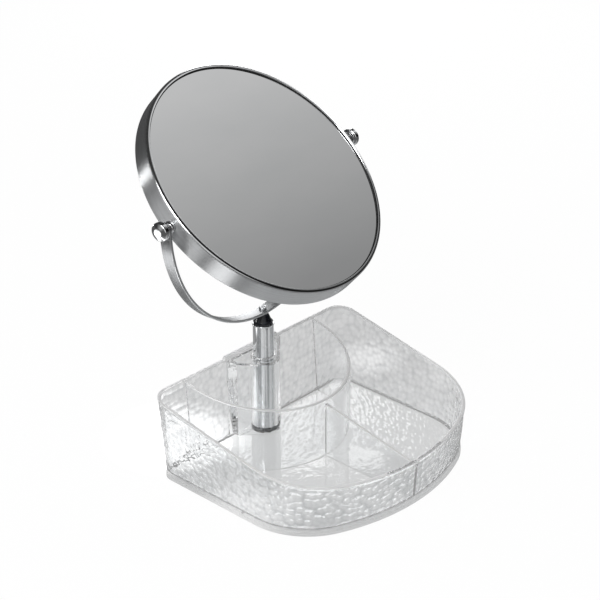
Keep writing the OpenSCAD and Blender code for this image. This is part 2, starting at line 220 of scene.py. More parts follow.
# %% The axes of post, yoke and mirror
tilt_joint = frame["joints"][1]
PIVOT = np.array(tilt_joint["pos_m"]) / MM
POST = np.array([PIVOT[0], PIVOT[1], 0.0])
PIVOT_AXIS = np.array(tilt_joint["axis"], float)
TILT = math.radians(49)  # how far the plain mirror looks up from level
ABOVE = np.array([0.0, 0.0, 1.0])
YOKE_BACK = np.cross(ABOVE, PIVOT_AXIS)
MIRROR_OUT = -math.cos(TILT) * YOKE_BACK + math.sin(TILT) * ABOVE
MIRROR_UP = np.cross(MIRROR_OUT, PIVOT_AXIS)


def on_post(points):
    """Up the post's axis, z from the table."""
    return points + POST


def on_mirror(points):
    """Across the mirror: x along the pivots, z out of the plain face."""
    return PIVOT + points @ np.stack([PIVOT_AXIS, MIRROR_UP, MIRROR_OUT])


def on_yoke(points):
    """In the yoke: x along the pivots, z up."""
    return PIVOT + points @ np.stack([PIVOT_AXIS, YOKE_BACK, ABOVE])


def on_pivot(side):
    """Along one pivot, z from the mirror's centre outwards, side -1 or 1."""
    def place(points):
        x, y, z = points[..., 0], points[..., 1], points[..., 2]
        return on_yoke(np.stack([side * z, side * y, x], axis=-1))
    return place


print("pivot at", PIVOT.round(2), "mm; mirror faces", MIRROR_OUT.round(3))

# %% [markdown]
# ## Finishes
# Metals and plastics are told apart by how sharp their reflections are and what breaks them up.
# Each material starts from the same shader and gets its own grain, smears or waves from noise in
# Object coordinates, or along the piece's own surface where the grain follows it.

# %% A node tree
class Tree:
    """A node tree and short ways to add to it."""

    def __init__(self, tree):
        self.nodes, self.links = tree.nodes, tree.links

    def add(self, kind, settings=None, **sockets):
        """A node with its settings and socket values; a socket value may be an output to link."""
        node = self.nodes.new(kind)
        for key, value in (settings or {}).items():
            setattr(node, key, value)
        for socket, value in sockets.items():
            target = node.inputs[socket.replace("_", " ")]
            if isinstance(value, bpy.types.NodeSocket):
                self.links.new(value, target)
            else:
                target.default_value = value
        return node

    def between(self, source, low, high, start=0.3, stop=0.7, kind="LINEAR"):
        """The source stretched from start..stop to low..high."""
        return self.add("ShaderNodeMapRange", {"interpolation_type": kind}, Value=source,
                        From_Min=start, From_Max=stop, To_Min=low, To_Max=high).outputs[0]

    def sum(self, one, other):
        """The two added; the other may be a number."""
        node = self.add("ShaderNodeMath")
        self.links.new(one, node.inputs[0])
        if isinstance(other, bpy.types.NodeSocket):
            self.links.new(other, node.inputs[1])
        else:
            node.inputs[1].default_value = other
        return node.outputs[0]

    def against(self, operation, source, vector):
        """The distance between source and vector, or their product."""
        node = self.add("ShaderNodeVectorMath", {"operation": operation})
        self.links.new(source, node.inputs[0])
        node.inputs[1].default_value = vector
        return node.outputs["Value"]

    def mixed(self, part, one, other, output):
        """Shader one where part is 0 and the other where it is 1, to the output's surface."""
        node = self.add("ShaderNodeMixShader")
        for socket, source in zip(node.inputs, (part, one.outputs[0], other.outputs[0])):
            self.links.new(source, socket)
        self.links.new(node.outputs[0], output.inputs["Surface"])

    def mirrored_ray(self):
        """The light path, and 1 for a ray thrown back by metal but 0 for one that went through
        clear plastic."""
        path = self.add("ShaderNodeLightPath")
        step = self.add("ShaderNodeMath", {"operation": "SUBTRACT", "use_clamp": True})
        self.links.new(path.outputs["Is Glossy Ray"], step.inputs[0])
        self.links.new(path.outputs["Is Transmission Ray"], step.inputs[1])
        return path, step.outputs[0]


# %% A material to start from
class Finish(Tree):
    """One material, with its main shader."""

    def __init__(self, name, **sockets):
        self.material = bpy.data.materials.new(name)
        self.material.use_nodes = True
        super().__init__(self.material.node_tree)
        self.shader = self.nodes["Principled BSDF"]
        self.output = self.nodes["Material Output"]
        for socket, value in sockets.items():
            self.shader.inputs[socket.replace("_", " ")].default_value = value
        print("finish", name)

    def noise(self, scale, detail=3.0, stretch=(1, 1, 1), where="Object"):
        """Noise in Object coordinates or uv, finer along an axis with a larger stretch."""
        source = self.add("ShaderNodeTexCoord").outputs[where]
        mapped = self.add("ShaderNodeMapping", Vector=source, Scale=stretch)
        return self.add("ShaderNodeTexNoise", Vector=mapped.outputs[0], Scale=scale,
                        Detail=detail).outputs["Fac"]

    def tint(self, source, dark, light):
        """A colour between dark and light by the source."""
        ramp = self.add("ShaderNodeMix", {"data_type": "RGBA"})
        self.links.new(source, ramp.inputs[0])
        ramp.inputs[6].default_value = (*dark, 1)
        ramp.inputs[7].default_value = (*light, 1)
        return ramp.outputs[2]

    def look(self, source, dark, light, rough, start=0.3, stop=0.7):
        """Colour from dark to light as the source goes from start to stop, and roughness by it."""
        colour = self.tint(self.between(source, 0, 1, start, stop), dark, light)
        self.drive(colour, "Base Color")
        self.drive(self.between(source, *rough), "Roughness")

    def bump(self, source, strength, depth):
        """Bumps of the given depth in metres on the main shader."""
        node = self.add("ShaderNodeBump", Height=source, Strength=strength, Distance=depth)
        self.links.new(node.outputs[0], self.shader.inputs["Normal"])

    def drive(self, source, socket):
        """Lets the source set one socket of the main shader."""
        self.links.new(source, self.shader.inputs[socket])


def wear(piece, finish, body=None):
    """Gives a piece its finish and the body it rides on."""
    piece.data.materials.clear()
    piece.data.materials.append(finish.material)
    if body:
        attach(piece, body)
    return piece


# %% [markdown]
# ### Chrome
# Plated and polished, so nearly a mirror. Real plating is never perfectly flat: a slow ripple
# bends its reflections and a thin haze of wiping marks changes their sharpness.

# %% Chrome
def chrome_finish():
    """Noise of haze sets colour and sharpness, and slower noise the ripple."""
    f = Finish("chrome", Metallic=1.0)
    haze = f.noise(90, detail=5)
    f.look(haze, (0.78, 0.79, 0.8), (0.9, 0.91, 0.92), (0.03, 0.08))
    f.bump(f.noise(35, detail=2), 0.02, 0.0004)
    return f


def drawn_chrome_painted_reflection_finish():
    """Chrome over a drawn tube: fine lines along the draw, with painted reflection stripes along them, dark to
    light.
    """
    f = Finish("drawn_chrome_painted_reflection", Metallic=1.0)
    lines = f.noise(1.0, detail=3, stretch=(420, 3, 1), where="UV")
    # Painted reflection: the colour runs from dark to light across the stripes, standing for reflected stripes on
    # the tube.
    f.look(lines, (0.42, 0.43, 0.44), (0.94, 0.95, 0.96), (0.05, 0.16), 0.43, 0.57)
    f.bump(lines, 0.1, 0.0003)
    return f


chrome = chrome_finish()
drawn_chrome_painted_reflection = drawn_chrome_painted_reflection_finish()

# %% [markdown]
# ### Brushed steel
# The ring and the yoke are brushed along their length. The brush leaves fine lines, so a light is
# smeared across them: anisotropy does that, with its direction taken from the surface's own uv.
# Streaks of different depth come from noise stretched along the brushing. The yoke's strip is a
# greyer steel than the ring's band.

# %% Brushed steel
def brushed_finish(name, dark, light):
    """Noise that is long along the piece and fine across it sets colour and roughness, finer
    noise the bumps, and a quarter turn from the tangent smears light across the lines."""
    f = Finish(name, Metallic=1.0, Anisotropic=0.9, Anisotropic_Rotation=0.25)
    streaks = f.noise(1.0, detail=6, stretch=(12, 3600, 1), where="UV")
    fine = f.noise(1.0, detail=2, stretch=(72, 12600, 1), where="UV")
    f.look(streaks, dark, light, (0.3, 0.42))
    f.bump(fine, 0.12, 0.0001)
    tangent = f.add("ShaderNodeTangent", {"direction_type": "UV_MAP", "uv_map": "surface"})
    f.drive(tangent.outputs[0], "Tangent")
    return f


brushed = brushed_finish("brushed_steel", (0.52, 0.53, 0.54), (0.74, 0.75, 0.76))
brushed_grey = brushed_finish("brushed_steel_grey", (0.38, 0.39, 0.4), (0.6, 0.61, 0.62))

# %% [markdown]
# ### Silvered glass
# A flat mirror, a little grey, with the faintest smears.

# %% Mirror
def mirror_finish():
    """Slow noise moves colour and roughness by very little."""
    f = Finish("silvered_glass", Metallic=1.0)
    smear = f.noise(14, detail=4, stretch=(1, 3, 1))
    f.look(smear, (0.86, 0.87, 0.875), (0.9, 0.905, 0.91), (0.012, 0.03))
    return f


silvered = mirror_finish()

# %% [markdown]
# ### Black plastic, rubber, and the pieces inside
# The cone is satin moulded plastic, the gasket matt rubber. The bush and hoop are natural white
# plastic, the inserts turned brass and the fasteners zinc plated. Each shows a grain of its own.

# %% Plastics and fasteners
def grained_finish(name, dark, light, rough, metal=0.0, scale=400.0):
    """One noise, the grain, sets colour, roughness and bumps."""
    f = Finish(name, Metallic=metal)
    grain = f.noise(scale, detail=4.0)
    f.look(grain, dark, light, rough)
    f.bump(grain, 0.3, 0.00005)
    return f


black_plastic = grained_finish("black_plastic", (0.008, 0.009, 0.012), (0.02, 0.022, 0.03),
                               (0.18, 0.3))
rubber = grained_finish("black_rubber", (0.006, 0.006, 0.006), (0.02, 0.02, 0.02), (0.5, 0.7))
white_plastic = grained_finish("white_plastic", (0.72, 0.71, 0.68), (0.82, 0.81, 0.78),
                               (0.35, 0.5))
brass = grained_finish("turned_brass", (0.55, 0.4, 0.16), (0.72, 0.56, 0.28), (0.2, 0.35),
                       metal=1.0, scale=900)
zinc = grained_finish("zinc_plate", (0.6, 0.61, 0.63), (0.8, 0.81, 0.82), (0.25, 0.4),
                      metal=1.0, scale=700)

# %% [markdown]
# ### Clear plastic
# The tray is clear, so its look is what it bends. Light is let through to the floor by a
# transparent film that only lamps see, as a path tracer would otherwise leave the floor under
# clear plastic dark. A slow ripple stands for the flow of the moulding. Two values kept on the
# mesh change it from place to place: the ridges between dimples get painted shade, a darker tint
# that stands for the darker places their bending shows, and the top edges are ground rather than
# moulded, so they are satin.

# %% Clear plastic
def clear_finish():
    """Painted shade darkens the tint on the ridges, and ground edges are rougher and let less light through."""
    f = Finish("clear_plastic", IOR=1.49)
    f.bump(f.noise(160, detail=3), 0.2, 0.0003)
    ridge = f.add("ShaderNodeAttribute", {"attribute_name": "ridge"}).outputs["Fac"]
    edge = f.add("ShaderNodeAttribute", {"attribute_name": "ground_edge"}).outputs["Fac"]
    # Painted shade: the ridges between dimples get a darker base colour.
    f.drive(f.tint(f.between(ridge, 0, 1, 0.1, 0.75), (0.98, 0.984, 0.986), (0.62, 0.63, 0.64)),
            "Base Color")
    f.drive(f.between(edge, 0.012, 0.3, 0.0, 1.0), "Roughness")
    f.drive(f.between(edge, 1.0, 0.6, 0.0, 1.0), "Transmission Weight")
    lamps_see = f.add("ShaderNodeBsdfTransparent", Color=(0.93, 0.94, 0.945, 1))
    path = f.add("ShaderNodeLightPath")
    f.mixed(path.outputs["Is Shadow Ray"], f.shader, lamps_see, f.output)
    return f


clear = clear_finish()

# %% [markdown]
# ## The tray's outline
# Seen from above, the tray has a straight back and sides, two small back corners, two large front
# corners and a bowed front. Every wall is this one outline pushed out or in, so the outline is
# kept as points with their outward directions.

# %% Outline of the tray
BASE_W, BASE_D = 182.0, 148.5
REAR_H, FRONT_H = 62.0, 33.5
DRAFT = math.tan(math.radians(4.3))
WALL, FLOOR = 2.4, 3.6
PLINTH, PLINTH_STEP = 3.4, 0.5
REAR_CORNER, FRONT_CORNER, BOW = 10.0, 51.0, 150.0
REAR_Y = BASE_D / 2
BOW_Y = BOW - REAR_Y
CORNER_X = BASE_W / 2 - FRONT_CORNER
CORNER_Y = BOW_Y - math.sqrt((BOW - FRONT_CORNER) ** 2 - CORNER_X ** 2)
MEET = math.atan2(CORNER_Y - BOW_Y, CORNER_X)
COLUMN = 0.85  # distance between the grid's columns round the tray


def arc_points(x, y, radius, start, end):
    """Points on an arc and their outward directions, about one column apart."""
    n = max(3, int(abs(end - start) * radius / COLUMN))
    a = np.linspace(start, end, n, endpoint=False)
    out = np.stack([np.cos(a), np.sin(a)], axis=-1)
    return np.array([x, y]) + radius * out, out


def line_points(start, end, outward):
    """Points from start to end, all with one outward direction."""
    start, end = np.array(start, float), np.array(end, float)
    n = max(2, int(np.linalg.norm(end - start) / COLUMN))
    t = np.linspace(0, 1, n, endpoint=False)[:, None]
    return start + t * (end - start), np.repeat([outward], n, axis=0).astype(float)


def tray_outline():
    """The outline clockwise from the middle of the back, seen from above: along the back to the
    right, down the right side, round the bow, up the left side and along the back again."""
    x, xr, yr = BASE_W / 2, BASE_W / 2 - REAR_CORNER, REAR_Y - REAR_CORNER
    quarter, half = math.pi / 2, math.pi
    runs = [
        line_points((0, REAR_Y), (xr, REAR_Y), (0, 1)),
        arc_points(xr, yr, REAR_CORNER, quarter, 0),
        line_points((x, yr), (x, CORNER_Y), (1, 0)),
        arc_points(CORNER_X, CORNER_Y, FRONT_CORNER, 0, MEET),
        arc_points(0, BOW_Y, BOW, MEET, -half - MEET),
        arc_points(-CORNER_X, CORNER_Y, FRONT_CORNER, -half - MEET, -half),
        line_points((-x, CORNER_Y), (-x, yr), (-1, 0)),
        arc_points(-xr, yr, REAR_CORNER, half, quarter),
        line_points((-xr, REAR_Y), (0, REAR_Y), (0, 1)),
    ]
    return [np.concatenate(part) for part in zip(*runs)]


outline, outward = tray_outline()
around = way_along(outline)
ROUND = around[-1] + COLUMN
print(len(outline), "columns,", round(ROUND), "mm round")

# %% [markdown]
# ## The hammered outside
# The outside is covered with shallow dimples of about 5 mm that meet in soft ridges, like beaten
# metal. They are real shape, because through clear plastic each one acts as a small lens. A
# dimple is a bowl about its own centre: the centres are a square lattice, each moved at random,
# and the depth falls with the square of the distance to the nearest one.

# %% Dimples
DIMPLE = 4.3
DIMPLE_DEPTH = 0.55
SHARE_FALL = 13.5  # how sharply one dimple gives way to the next
BOWL = 1.2  # how fast a dimple's depth falls from its centre
CELLS_HIGH, CELLS_BELOW = 20, 2  # rows of the lattice, and how many of them lie below the table
STRAY, SHALLOWEST = 0.38, 0.65  # how far a centre strays, in cells, and the least depth
dice = np.random.default_rng(7)
cells_round = int(round(ROUND / DIMPLE))
jitter = dice.uniform(-STRAY, STRAY, (cells_round, CELLS_HIGH, 2))
deepness = dice.uniform(SHALLOWEST, 1.0, (cells_round, CELLS_HIGH))


def dimples(s, z):
    """Depth from 0 to 1 at the way round s and height z: the bowls of the nine cells round the
    point, deepness times 1 - BOWL distance squared, weighted by exp(-SHARE_FALL distance
    squared), so that the nearest has most of the say."""
    u, v = s / ROUND * cells_round, z / DIMPLE + CELLS_BELOW
    i, j = np.floor(u).astype(int), np.floor(v).astype(int)
    total, weight = np.zeros_like(u), np.zeros_like(u)
    for di in (-1, 0, 1):
        for dj in (-1, 0, 1):
            cell = ((i + di) % cells_round, np.clip(j + dj, 0, CELLS_HIGH - 1))
            du = i + di + 0.5 + jitter[cell][..., 0] - u
            dv = j + dj + 0.5 + jitter[cell][..., 1] - v
            square = du ** 2 + dv ** 2
            w = np.exp(-SHARE_FALL * square)
            total += w * deepness[cell] * (1 - BOWL * square)
            weight += w
    return np.clip(total / weight, 0, 1)


print("dimples:", cells_round, "round,", CELLS_HIGH, "high")

# %% [markdown]
# ## The tub
# One profile runs from the middle of the underside, round the plinth, up the hammered wall, over
# the rim, down the inside and to the middle of the floor. It is carried round the outline, and
# the rim's height at each place comes from the sloping plane that cuts it.

# %% Walls and rim
RIM_OUT = DRAFT * (REAR_H - PLINTH) - PLINTH_STEP
RIM_REAR_Y = REAR_Y + RIM_OUT
RIM_FRONT_Y = -REAR_Y - (DRAFT * (FRONT_H - PLINTH) - PLINTH_STEP)
SLOPE = (REAR_H - FRONT_H) / (RIM_REAR_Y - RIM_FRONT_Y)
LIP_RISE, LIP_RAMP, BOSS_W = 2.0, 0.5, 52.0
LIP_FROM = 70.0  # only the back wall lies further back than this
FOOT_R, RIM_EDGE, FLOOR_EDGE = 0.6, 0.55, 2.5  # radii at the plinth's foot, the rim and the floor
WALL_ROWS, WALL_FOOT = 72, 3.9
INSIDE = 0.02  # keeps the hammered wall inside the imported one
CALM_TOP, CALM_FOOT = 1.6, 1.2  # the dimples fade out over these heights at both ends of the wall


def wall_out(z):
    """How far the wall stands out at height z."""
    return DRAFT * (z - PLINTH) - PLINTH_STEP


def rim_plane(y):
    """Height of the sloping plane that cuts the rim."""
    return REAR_H + (y - RIM_REAR_Y) * SLOPE


def lip(x, y):
    """Extra height of the back wall behind the boss, with steep ends."""
    rise = np.clip((BOSS_W / 2 - np.abs(x)) / LIP_RAMP, 0, 1)
    return np.where(y > LIP_FROM, LIP_RISE * rise, 0)


def pushed(d, z):
    """The outline pushed out by d at height z, for every column."""
    d, z = np.broadcast_to(d, len(outline)), np.broadcast_to(z, len(outline))
    return np.column_stack([outline + outward * d[:, None], z])


def rim_top(d):
    """Height of the rim plane, lip included, over the outline pushed out by d."""
    x, y, _ = pushed(d, 0).T
    return rim_plane(y) + lip(x, y)


def shrunk(part, z):
    """The outline drawn in towards the middle of the tray, for floor and underside."""
    middle = np.array([0.0, -2.0])
    inside = outline - outward * (WALL + FLOOR_EDGE + 1)
    return np.column_stack([middle + (inside - middle) * part, np.full(len(outline), z)])


print("the rim falls from", REAR_H, "to", round(float(rim_plane(RIM_FRONT_Y)), 2), "mm")


# %% The tub
def tub_rows():
    """All rows of the tub's grid, from the middle of the underside to the middle of the floor,
    and how much of a ridge each point is on."""
    rows = [shrunk(part, 0.0) for part in (0, 0.3, 0.6, 0.85, 1)]
    for a in np.radians((0, 30, 60, 90)):
        rows.append(pushed(FOOT_R * math.sin(a) - FOOT_R, FOOT_R - FOOT_R * math.cos(a)))
    for d, z in ((0, 1.5), (0, 3.0), (-0.08, 3.25), (-0.28, PLINTH), (-0.5, 3.55)):
        rows.append(pushed(d, z))
    top = rim_top(RIM_OUT)
    ridges = {}
    for t in np.linspace(0, 1, WALL_ROWS):
        z = WALL_FOOT + t * (top - RIM_EDGE - WALL_FOOT)
        calm = np.clip((top - z - RIM_EDGE) / CALM_TOP, 0, 1)
        calm = calm * np.clip((z - WALL_FOOT) / CALM_FOOT, 0, 1)
        sunk = dimples(around, z)
        ridges[len(rows)] = calm * (1 - sunk)
        rows.append(pushed(wall_out(z) - DIMPLE_DEPTH * calm * sunk - INSIDE, z))
    for inset, angles in ((RIM_EDGE, (30, 60, 90)), (WALL - RIM_EDGE, (90, 120, 150, 180))):
        for a in np.radians(angles):
            d = wall_out(top) - inset + RIM_EDGE * math.cos(a)
            rows.append(pushed(d, rim_top(d) - RIM_EDGE + RIM_EDGE * math.sin(a)))
    low = FLOOR + FLOOR_EDGE
    for t in (0.995, 0.875, 0.75, 0.625, 0.5, 0.375, 0.25, 0.125, 0):
        z = low + t * (rim_top(wall_out(top) - WALL) - RIM_EDGE - low)
        rows.append(pushed(wall_out(z) - WALL, z))
    for a in np.radians((20, 40, 60, 75, 90)):
        d = wall_out(low) - WALL - FLOOR_EDGE + FLOOR_EDGE * math.cos(a)
        rows.append(pushed(d, low - FLOOR_EDGE * math.sin(a)))
    rows += [shrunk(part, FLOOR) for part in (0.97, 0.85, 0.6, 0.3, 0)]
    on_ridge = np.zeros((len(rows), len(outline)))
    for row, value in ridges.items():
        on_ridge[row] = value
    return np.stack(rows), on_ridge


tub_grid, tub_ridges = tub_rows()
tub = piece_from_grid("tub", tub_grid, wrap_columns=True, ridge=tub_ridges)
print("tub:", len(tub.data.polygons), "faces")

# %% [markdown]
# ## Well wall and divider
# Inside the tub stand a half-round wall, a straight divider and the boss that carries the post.
# Each is a closed block that reaches a little way into the tub's walls and floor, and a union
# makes them one moulding with it, as clear plastic shows every surface that should not be there.

# %% Walls that stand on the floor
WELL_R, WELL_Y, INNER_WALL = 64.0, REAR_Y - 5.0, 2.2
WELL_DROP, DIVIDER_DROP = 1.2, 4.0
SINK = 1.1  # how far the blocks reach into walls and floor
INNER_EDGE = 0.5
SUPPORT = FLOOR + 20  # height of a row of points that keeps the wall's long faces apart
TAIL = 6.0  # length of the straight run from the well's half circle towards the back wall


def standing_wall(path, across, drop):
    """A wall along path with its thickness in the direction across: bottom corners in the floor,
    top corners rounded, and the top at the rim plane less drop. The first and last two rows are
    the bottom and support rows, which don't follow the rim plane."""
    half, edge = INNER_WALL / 2, INNER_EDGE
    a = np.radians((0, 30, 60, 90))
    side = np.concatenate([[half, half, half], half - edge + edge * np.cos(a)])
    below = np.concatenate([[0, 0, edge + 0.25], edge - edge * np.sin(a)])
    side = np.concatenate([side, -side[::-1]])
    flat = path[None] + side[:, None, None] * across[None]
    z = rim_plane(flat[..., 1]) - drop - np.concatenate([below, below[::-1]])[:, None]
    z[[0, -1]] = FLOOR - SINK
    z[[1, -2]] = SUPPORT
    return np.concatenate([flat, z[..., None]], axis=-1)


def capped(name, rings):
    """A closed block from rings of points, shape (points round, rings, 3), with flat ends."""
    around_count, count = rings.shape[:2]
    quads = grid_quads(around_count, count, wrap_rows=True).tolist()
    first = [i * count for i in range(around_count)]
    last = [i * count + count - 1 for i in range(around_count)]
    mesh = bpy.data.meshes.new(name)
    mesh.from_pydata((rings.reshape(-1, 3) * MM).tolist(), [], quads + [first[::-1], last])
    return finished(name, mesh)


# %% Well wall and divider
def into_back(points):
    """Points behind the well's centre stretched back so that the last ring ends inside the
    leaning back wall."""
    behind = points[..., 1] > WELL_Y + 0.01
    end = REAR_Y + wall_out(points[..., 2]) - SINK
    part = (points[..., 1] - WELL_Y) / TAIL
    points[..., 1] = np.where(behind, WELL_Y + part * (end - WELL_Y), points[..., 1])
    return points


def well_wall():
    """Half a circle with a short straight run to the back wall at each end."""
    middle = WELL_R - INNER_WALL / 2
    a = np.linspace(0, -math.pi, 121)
    arc_out = np.stack([np.cos(a), np.sin(a)], axis=-1)
    arc = np.array([0, WELL_Y]) + middle * arc_out
    right = np.array([[middle, WELL_Y + TAIL], [middle, WELL_Y + TAIL / 2]])
    path = np.concatenate([right, arc, right[::-1] * [-1, 1]])
    across = np.concatenate([[[1.0, 0]] * 2, arc_out, [[-1.0, 0]] * 2])
    return capped("well_wall", into_back(standing_wall(path, across, WELL_DROP)))


def divider():
    """Straight from the well wall to the front wall, with its last ring inside that wall."""
    y = np.linspace(WELL_Y - WELL_R + SINK, -REAR_Y, 12)
    path = np.stack([0 * y, y], axis=-1)
    wall = standing_wall(path, np.repeat([[1.0, 0]], len(y), 0), DIVIDER_DROP)
    wall[:, -1, 1] = -REAR_Y - wall_out(wall[:, -1, 2]) + SINK
    return capped("divider", wall)


blocks = [well_wall(), divider()]

# %% [markdown]
# ## The boss
# The post stands in a boss that grows out of the back wall. A solid lump of plastic would sink in
# as it cools, so the boss is cored from below. An even wall, a deck on top and a round column in
# the middle are left. Boss and hollow are the same plan at two sizes.

# %% Boss, hollow and collar
BOSS_R, DECK = 11.3, 2.4
SOCKET_R, SOCKET_WALL = 7.25, 2.0
COLLAR_WALL, COLLAR_H = 1.4, 1.6
WEB_LOW, WEB_HIGH = 4.0, 7.0
SCREW_HOLE_R = 2.8


def boss_plan(radius, half_width, front):
    """The boss from above: from the back's right end by a straight line to the round front and
    back by another. The line touches the circle, so the angle of its touching point is the end's
    own angle seen from the circle's centre, less the angle whose cosine is radius / distance."""
    end = np.array([half_width, front - POST[1]])
    angle = math.atan2(end[1], end[0]) - math.acos(radius / np.linalg.norm(end))
    a = np.linspace(angle, -math.pi - angle, 33)
    circle = POST[:2] + radius * np.stack([np.cos(a), np.sin(a)], axis=-1)
    return np.concatenate([[[half_width, front]], circle, [[-half_width, front]]])


def boss_block(name, plan, low, drop, back_at):
    """The plan closed by a back edge and carried up from the height low to the rim plane less
    drop. back_at gives the back edge's y at a height, so that the back can lean."""
    half = plan[0, 0]
    rings = []
    for height in (lambda y: low + 0 * y, lambda y: rim_plane(y) - drop):
        y = back_at(height(REAR_Y))
        loop = np.concatenate([plan, [[-half, y], [half, y]]])
        rings.append(np.column_stack([loop, height(loop[:, 1])]))
    return capped(name, np.stack(rings, axis=1))


def make_boss():
    """From inside the floor up to the rim plane, with an upright back."""
    plan = boss_plan(BOSS_R, BOSS_W / 2, REAR_Y - 1)
    return boss_block("boss", plan, FLOOR - SINK, 0, lambda z: REAR_Y + 0.4)


def make_hollow():
    """What is cored out of the boss: its plan less the wall, up to the deck."""
    half, front = BOSS_W / 2 - WALL * 2.5, REAR_Y - PLINTH_STEP - WALL - 1
    plan = boss_plan(BOSS_R - WALL, half, front)
    return boss_block("hollow", plan, -1, DECK, lambda z: REAR_Y + wall_out(z) - WALL)


def rod(name, radius, low, high, round_top=0.0):
    """A solid rod up the post's axis."""
    corners = [[0, low], [radius, low], [radius, high], [0, high]]
    return turned(name, rounded(corners, (0, 0, round_top, 0)), on_post, 72)


collar_top = rim_plane(POST[1]) + COLLAR_H
blocks += [make_boss(), rod("collar", SOCKET_R + COLLAR_WALL, WEB_HIGH, collar_top, 0.5)]

# %% [markdown]
# ## One moulding
# Unions make one solid of tub and blocks, and differences cut the hollow, the tube's socket and
# the screw's hole. The tops of the thin walls are then marked, because they are ground.

# %% One moulding
TRAY_SHARP = math.radians(38)


def joined(target, other, operation):
    """Joins a closed mesh to the target or cuts it out, and removes it."""
    step = target.modifiers.new("join", "BOOLEAN")
    step.operation, step.object, step.solver = operation, other, "MANIFOLD"
    graph = bpy.context.evaluated_depsgraph_get()
    mesh = bpy.data.meshes.new_from_object(target.evaluated_get(graph))
    target.modifiers.clear()
    old, target.data = target.data, mesh
    bpy.data.meshes.remove(old)
    bpy.data.objects.remove(other)
    return target


def mark_ground_edges(piece):
    """Marks points on the top edges of rim, well wall and divider: those higher than the sloping
    plane less the edge's drop and its rounding. The boss's top is left out, apart from the lip
    behind it."""
    place = np.empty(len(piece.data.vertices) * 3, dtype="f")
    piece.data.vertices.foreach_get("co", place)
    x, y, z = (place.reshape(-1, 3) / MM).T
    under = rim_plane(y) - z
    from_well = np.hypot(x, y - WELL_Y)
    near, rim, inner = INNER_WALL / 2 + 0.2, RIM_EDGE + 0.01, INNER_EDGE + 0.01
    boss_top = (np.abs(x) < BOSS_W / 2 + 1) & (y < RIM_REAR_Y - WALL - 0.1)
    on_lip = (under < -0.1) & (y > RIM_REAR_Y - WALL - 0.6)
    on_rim = ((under < rim - lip(x, y)) & ~boss_top) | on_lip
    on_well = (np.abs(from_well - WELL_R + INNER_WALL / 2) < near) & (under < WELL_DROP + inner)
    on_divider = (np.abs(x) < near) & (from_well > WELL_R) & (under < DIVIDER_DROP + inner)
    marked = (on_rim | on_well | on_divider).astype("f")
    layer = piece.data.attributes.new("ground_edge", "FLOAT", "POINT")
    layer.data.foreach_set("value", marked)


tray = tub
for block in blocks:
    joined(tray, block, "UNION")
# A rod that cuts reaches well past what it cuts through.
hollow = joined(make_hollow(), rod("column", SOCKET_R + SOCKET_WALL, WEB_LOW, 80), "DIFFERENCE")
for cutter in (hollow, rod("socket", SOCKET_R, WEB_HIGH, 90), rod("hole", SCREW_HOLE_R, -2, 20)):
    joined(tray, cutter, "DIFFERENCE")
tray.name = tray.data.name = "clear_tray"
mark_ground_edges(tray)
tray.data.shade_smooth()
tray.data.set_sharp_from_angle(angle=TRAY_SHARP)
wear(tray, clear, "base")
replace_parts(tray, "tray")
print("tray:", sum(len(p.vertices) - 2 for p in tray.data.polygons), "triangles")

# %% [markdown]
# ## The post
# A chrome tube with a small bright bead at its top. Both are turned outlines.

# %% Tube and bead
TUBE_R, TUBE_WALL, TUBE_TOP = 7.2, 0.8, 84.2
BORE_R = TUBE_R - TUBE_WALL
RING_FOOT, RING_TOP = TUBE_TOP + 0.02, TUBE_TOP + 1.1


def make_tube():
    """The tube's wall as a closed outline with softened ends."""
    corners = [[BORE_R, WEB_HIGH], [TUBE_R, WEB_HIGH], [TUBE_R, TUBE_TOP], [BORE_R, TUBE_TOP]]
    return turned("chrome_tube", rounded(corners, (0.1, 0.3, 0.15, 0.1)), on_post, closed=True)


def make_bead():
    """A spigot that sits in the tube, under a rounded flange that covers its end."""
    lip_r, bore, spigot, low = TUBE_R + 0.5, 4.3, BORE_R - 0.05, TUBE_TOP - 4
    corners = [[bore, low], [spigot, low], [spigot, RING_FOOT], [lip_r, RING_FOOT],
               [lip_r, RING_TOP], [bore, RING_TOP]]
    return turned("tube_bead", rounded(corners, (0.2, 0.2, 0, 0.5, 0.5, 0.2)), on_post,
                  closed=True)


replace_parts(wear(make_tube(), drawn_chrome_painted_reflection, "base"), "post_tube")
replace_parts(wear(make_bead(), chrome, "base"), "tube_trim_ring")

# %% [markdown]
# ## The cone
# A black plug whose shank turns inside the tube. Its cone narrows to the yoke with a soft belly.

# %% Cone
CONE_FOOT, CONE_TOP = RING_TOP + 0.5, PIVOT[2] - 96.0
SHANK_R, SHANK_FOOT = 4.0, 56.0
FLANGE_R, BELLY_R, NECK_R = 6.9, 6.0, 3.7


def make_cone():
    """Shank, flange, and a straight slope from the belly to the neck."""
    corners = [[0, SHANK_FOOT], [SHANK_R, SHANK_FOOT], [SHANK_R, CONE_FOOT], [FLANGE_R, CONE_FOOT],
               [FLANGE_R, CONE_FOOT + 0.7], [BELLY_R, CONE_FOOT + 1.1], [NECK_R, CONE_TOP - 1.2],
               [NECK_R, CONE_TOP], [0, CONE_TOP]]
    shape = rounded(corners, (0, 0.3, 0, 0.2, 0.25, 0.6, 0.8, 0.2, 0))
    return turned("black_cone", shape, on_post, 72)


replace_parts(wear(make_cone(), black_plastic, "yoke"), "swivel_plug")

# %% [markdown]
# ## The yoke
# A flat strip bent into half a hoop. Its section is a rectangle with softened edges, carried
# along the hoop, and its ends are round: there the strip's half width w at a distance t past the
# pivot is the square root of w0 squared less t squared.

# %% Yoke
YOKE_R, YOKE_T, YOKE_W = 94.0, 2.0, 8.8
END_STEPS, ARC_STEPS = 12, 161


def face_centres(piece, *axes):
    """The middle of every face in millimetres along the axes from the mirror's centre."""
    centres = np.empty(len(piece.data.polygons) * 3, dtype="f")
    piece.data.polygons.foreach_get("center", centres)
    return np.stack(axes) @ (centres.reshape(-1, 3) / MM - PIVOT).T


